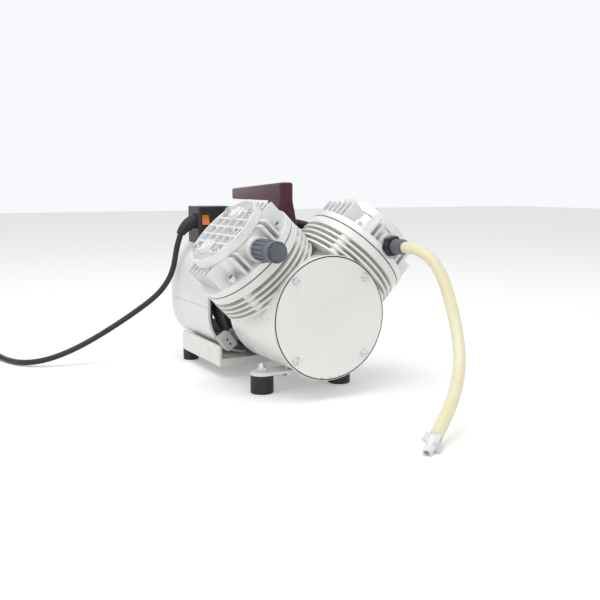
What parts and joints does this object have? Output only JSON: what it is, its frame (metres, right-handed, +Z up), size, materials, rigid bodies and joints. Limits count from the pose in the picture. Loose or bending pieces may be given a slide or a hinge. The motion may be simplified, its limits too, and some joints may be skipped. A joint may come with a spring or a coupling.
{
  "type": "diaphragm vacuum pump",
  "caption": "Diaphragm vacuum pump with finned heads in a V, round front cover, fan-cooled motor, angled carrying handle, rocker switch, mains cord and suction hose.",
  "frame": {"origin": "on the floor below the shaft, midway between the two front feet", "axes": "+Z up, +Y along the shaft from the front cover towards the motor, +X towards the right-hand head seen from the front"},
  "size_m": [0.4866, 0.7147, 0.2256],
  "materials": {
    "white_enamel": "satin",
    "cast_aluminium": "satin",
    "polished_aluminium": "satin",
    "steel": "satin",
    "black_plastic": "matte",
    "black_rubber": "matte",
    "seal_yellow": "matte",
    "gasket_dark": "matte",
    "burgundy_plastic": "glossy",
    "white_plastic": "satin",
    "orange_plastic": "glossy",
    "grey_plastic": "satin",
    "light_grey_plastic": "satin",
    "motor_paint": "satin",
    "copper": "satin",
    "silicone_hose": "satin",
    "white_fitting": "satin",
    "dark_steel": "satin"
  },
  "bodies": {
    "pump": {"crankcase": "white_enamel", "base_tray": "white_enamel", "head_left": "cast_aluminium", "head_right": "cast_aluminium", "head_lid_left": "cast_aluminium", "head_lid_right": "cast_aluminium", "rear_shield": "cast_aluminium", "front_cover": "polished_aluminium", "cover_screws": "steel", "head_screws_left": "steel", "head_screws_right": "steel", "lid_screws_left": "steel", "lid_screws_right": "steel", "valve_discs_left": "steel", "valve_discs_right": "steel", "bearing_front": "steel", "bearing_rear": "steel", "bar_bolts": "steel", "foot_nuts": "steel", "plug_pins": "steel", "stator_core": "dark_steel", "head_seal_left": "seal_yellow", "head_seal_right": "seal_yellow", "case_gasket": "gasket_dark", "membrane_left": "gasket_dark", "membrane_right": "gasket_dark", "motor_housing": "motor_paint", "windings": "copper", "fan_cover": "white_plastic", "front_bar": "white_enamel", "rubber_feet": "black_rubber", "link_hose": "black_rubber", "mains_cord": "black_rubber", "cord_coil": "black_rubber", "strain_relief": "black_rubber", "switch_box": "black_plastic", "inlet_nut": "black_plastic", "elbow_left": "black_plastic", "elbow_right": "black_plastic", "mains_plug": "black_plastic", "handle": "burgundy_plastic", "silencer_body": "grey_plastic", "silencer_cap": "grey_plastic", "hose_barb": "grey_plastic", "terminal_block": "light_grey_plastic", "vacuum_hose": "silicone_hose", "hose_tip": "white_fitting"},
    "crank": {"eccentrics": "dark_steel", "motor_shaft": "steel", "rotor": "dark_steel", "fan": "black_plastic"},
    "rod_left": {"conrod_left": "cast_aluminium", "rod_bearing_left": "steel", "clamp_disc_left": "cast_aluminium"},
    "rod_right": {"conrod_right": "cast_aluminium", "rod_bearing_right": "steel", "clamp_disc_right": "cast_aluminium"},
    "rocker": {"rocker": "orange_plastic"}
  },
  "joints": [
    {"name": "crank_spin", "type": "hinge", "parent": "pump", "child": "crank", "pos_m": [0, 0, 0.086], "axis": [0, 1, 0], "continuous": true, "deforming": ["membrane_left", "membrane_right"]},
    {"name": "rod_left_turn", "type": "hinge", "parent": "crank", "child": "rod_left", "pos_m": [-0.00177, 0.0075, 0.08777], "axis": [0, 1, 0], "continuous": true},
    {"name": "rod_right_turn", "type": "hinge", "parent": "crank", "child": "rod_right", "pos_m": [-0.00177, -0.0075, 0.08423], "axis": [0, 1, 0], "continuous": true},
    {"name": "rocker_tilt", "type": "hinge", "parent": "pump", "child": "rocker", "pos_m": [-0.04, 0.1763, 0.1782], "axis": [1, 0, 0], "range_deg": [0, 24]}
  ],
  "couplings": [
    {"joint": "rod_left_turn", "follows": "crank_spin", "ratio": -1},
    {"joint": "rod_right_turn", "follows": "crank_spin", "ratio": -1}
  ]
}
